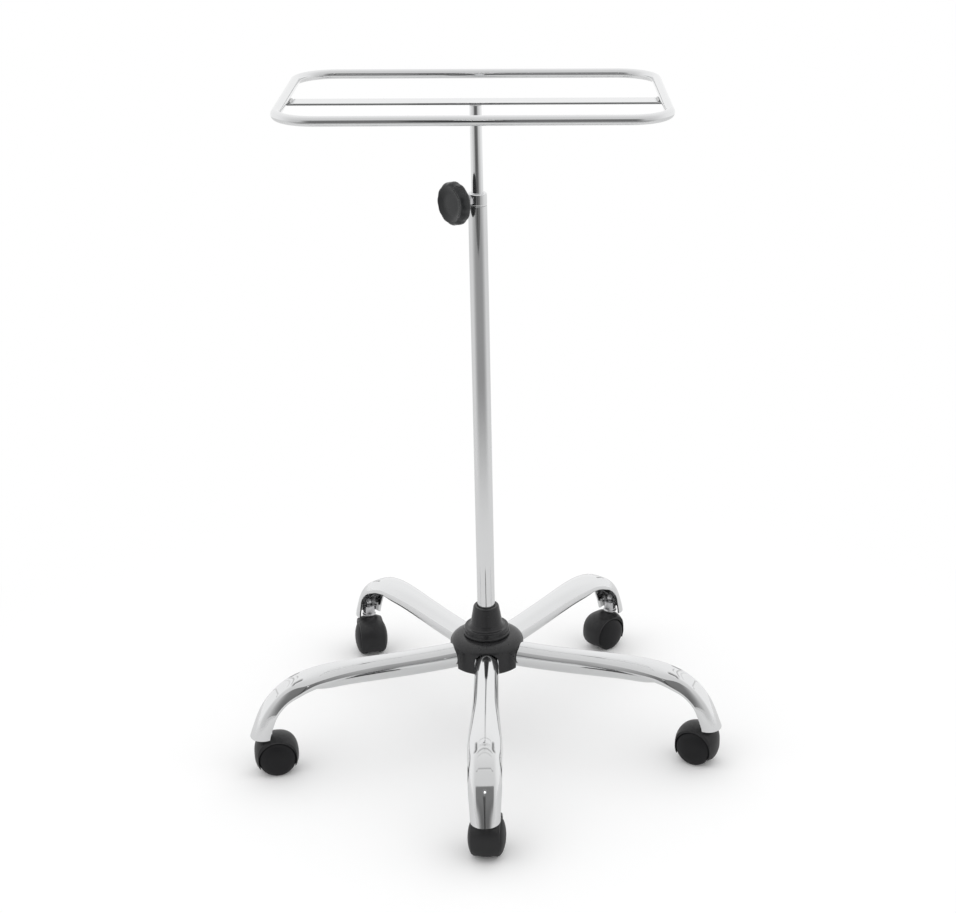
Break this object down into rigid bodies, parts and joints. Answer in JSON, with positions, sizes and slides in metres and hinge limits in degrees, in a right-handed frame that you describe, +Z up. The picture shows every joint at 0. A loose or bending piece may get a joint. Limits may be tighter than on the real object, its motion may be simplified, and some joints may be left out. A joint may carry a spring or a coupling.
{
  "type": "mayo instrument stand",
  "caption": "Chromed instrument stand on castors: an open rectangular tray frame on a telescopic column with a clamp knob, over splayed pressed-tube legs.",
  "frame": {"origin": "on the floor, under the middle of the legs' footprint", "axes": "+Z up; the front leg points along -Y and the tray frame's long side runs along X"},
  "size_m": [0.6712, 0.6424, 0.95],
  "materials": {
    "chrome": "polished chrome plate",
    "steel": "zinc plated, satin",
    "black_plastic": "satin moulded",
    "wheel_plastic": "satin moulded",
    "white_nylon": "natural nylon"
  },
  "bodies": {
    "base": {"column_tube": "chrome", "column_collar": "chrome", "guide_bush": "white_nylon", "clamp_nut": "steel", "hub_core": "steel", "column_foot": "steel", "base_washer": "steel", "base_bolt": "steel", "hub_cover": "black_plastic", "column_boot": "black_plastic", "front_leg": "chrome", "front_leg_socket": "steel", "right_leg": "chrome", "right_leg_socket": "steel", "rear_right_leg": "chrome", "rear_right_leg_socket": "steel", "rear_left_leg": "chrome", "rear_left_leg_socket": "steel", "left_leg": "chrome", "left_leg_socket": "steel"},
    "glide": {"mast_glide": "white_nylon"},
    "tray_frame": {"mast": "chrome", "cross_bar": "chrome", "tray_ring": "chrome"},
    "pressure_pad": {"clamp_pad": "white_nylon"},
    "hand_knob": {"clamp_knob": "black_plastic", "clamp_screw": "steel"},
    "front_castor": {"front_castor_stem": "steel", "front_castor_hood": "black_plastic", "front_castor_axle": "steel"},
    "front_wheel_a": {"front_castor_wheel_a": "wheel_plastic"},
    "front_wheel_b": {"front_castor_wheel_b": "wheel_plastic"},
    "right_castor": {"right_castor_stem": "steel", "right_castor_hood": "black_plastic", "right_castor_axle": "steel"},
    "right_wheel_a": {"right_castor_wheel_a": "wheel_plastic"},
    "right_wheel_b": {"right_castor_wheel_b": "wheel_plastic"},
    "rear_right_castor": {"rear_right_castor_stem": "steel", "rear_right_castor_hood": "black_plastic", "rear_right_castor_axle": "steel"},
    "rear_right_wheel_a": {"rear_right_castor_wheel_a": "wheel_plastic"},
    "rear_right_wheel_b": {"rear_right_castor_wheel_b": "wheel_plastic"},
    "rear_left_castor": {"rear_left_castor_stem": "steel", "rear_left_castor_hood": "black_plastic", "rear_left_castor_axle": "steel"},
    "rear_left_wheel_a": {"rear_left_castor_wheel_a": "wheel_plastic"},
    "rear_left_wheel_b": {"rear_left_castor_wheel_b": "wheel_plastic"},
    "left_castor": {"left_castor_stem": "steel", "left_castor_hood": "black_plastic", "left_castor_axle": "steel"},
    "left_wheel_a": {"left_castor_wheel_a": "wheel_plastic"},
    "left_wheel_b": {"left_castor_wheel_b": "wheel_plastic"}
  },
  "joints": [
    {"name": "height_slide", "type": "slide", "parent": "base", "child": "glide", "axis": [0, 0, 1], "range_m": [-0.09, 0.38]},
    {"name": "frame_swivel", "type": "hinge", "parent": "glide", "child": "tray_frame", "pos_m": [0, 0.03051, 0.934], "axis": [0, 0, 1], "continuous": true},
    {"name": "clamp_travel", "type": "slide", "parent": "base", "child": "pressure_pad", "axis": [-0.766, -0.6428, 0], "range_m": [0, 0.0038]},
    {"name": "clamp_turn", "type": "hinge", "parent": "pressure_pad", "child": "hand_knob", "pos_m": [0, 0.03051, 0.80755], "axis": [-0.766, -0.6428, 0], "range_deg": [0, 1080]},
    {"name": "front_castor_swivel", "type": "hinge", "parent": "base", "child": "front_castor", "pos_m": [0, -0.30049, 0.0593], "axis": [0, 0, 1], "continuous": true},
    {"name": "front_wheel_a_spin", "type": "hinge", "parent": "front_castor", "child": "front_wheel_a", "pos_m": [0.00126, -0.28605, 0.0263], "axis": [0.9962, -0.0872, 0], "continuous": true},
    {"name": "front_wheel_b_spin", "type": "hinge", "parent": "front_castor", "child": "front_wheel_b", "pos_m": [0.00126, -0.28605, 0.0263], "axis": [0.9962, -0.0872, 0], "continuous": true},
    {"name": "right_castor_swivel", "type": "hinge", "parent": "base", "child": "right_castor", "pos_m": [0.3148, -0.07178, 0.0593], "axis": [0, 0, 1], "continuous": true},
    {"name": "right_wheel_a_spin", "type": "hinge", "parent": "right_castor", "child": "right_wheel_a", "pos_m": [0.30212, -0.06475, 0.0263], "axis": [0.4848, 0.8746, 0], "continuous": true},
    {"name": "right_wheel_b_spin", "type": "hinge", "parent": "right_castor", "child": "right_wheel_b", "pos_m": [0.30212, -0.06475, 0.0263], "axis": [0.4848, 0.8746, 0], "continuous": true},
    {"name": "rear_right_castor_swivel", "type": "hinge", "parent": "base", "child": "rear_right_castor", "pos_m": [0.19456, 0.29829, 0.0593], "axis": [0, 0, 1], "continuous": true},
    {"name": "rear_right_wheel_a_spin", "type": "hinge", "parent": "rear_right_castor", "child": "rear_right_wheel_a", "pos_m": [0.18345, 0.28897, 0.0263], "axis": [-0.6428, 0.766, 0], "continuous": true},
    {"name": "rear_right_wheel_b_spin", "type": "hinge", "parent": "rear_right_castor", "child": "rear_right_wheel_b", "pos_m": [0.18345, 0.28897, 0.0263], "axis": [-0.6428, 0.766, 0], "continuous": true},
    {"name": "rear_left_castor_swivel", "type": "hinge", "parent": "base", "child": "rear_left_castor", "pos_m": [-0.19456, 0.29829, 0.0593], "axis": [0, 0, 1], "continuous": true},
    {"name": "rear_left_wheel_a_spin", "type": "hinge", "parent": "rear_left_castor", "child": "rear_left_wheel_a", "pos_m": [-0.19129, 0.28416, 0.0263], "axis": [-0.9744, -0.225, 0], "continuous": true},
    {"name": "rear_left_wheel_b_spin", "type": "hinge", "parent": "rear_left_castor", "child": "rear_left_wheel_b", "pos_m": [-0.19129, 0.28416, 0.0263], "axis": [-0.9744, -0.225, 0], "continuous": true},
    {"name": "left_castor_swivel", "type": "hinge", "parent": "base", "child": "left_castor", "pos_m": [-0.3148, -0.07178, 0.0593], "axis": [0, 0, 1], "continuous": true},
    {"name": "left_wheel_a_spin", "type": "hinge", "parent": "left_castor", "child": "left_wheel_a", "pos_m": [-0.30057, -0.06901, 0.0263], "axis": [0.1908, -0.9816, 0], "continuous": true},
    {"name": "left_wheel_b_spin", "type": "hinge", "parent": "left_castor", "child": "left_wheel_b", "pos_m": [-0.30057, -0.06901, 0.0263], "axis": [0.1908, -0.9816, 0], "continuous": true}
  ],
  "couplings": [
    {"joint": "clamp_travel", "follows": "clamp_turn", "m_per_rad": 0.00019894}
  ]
}
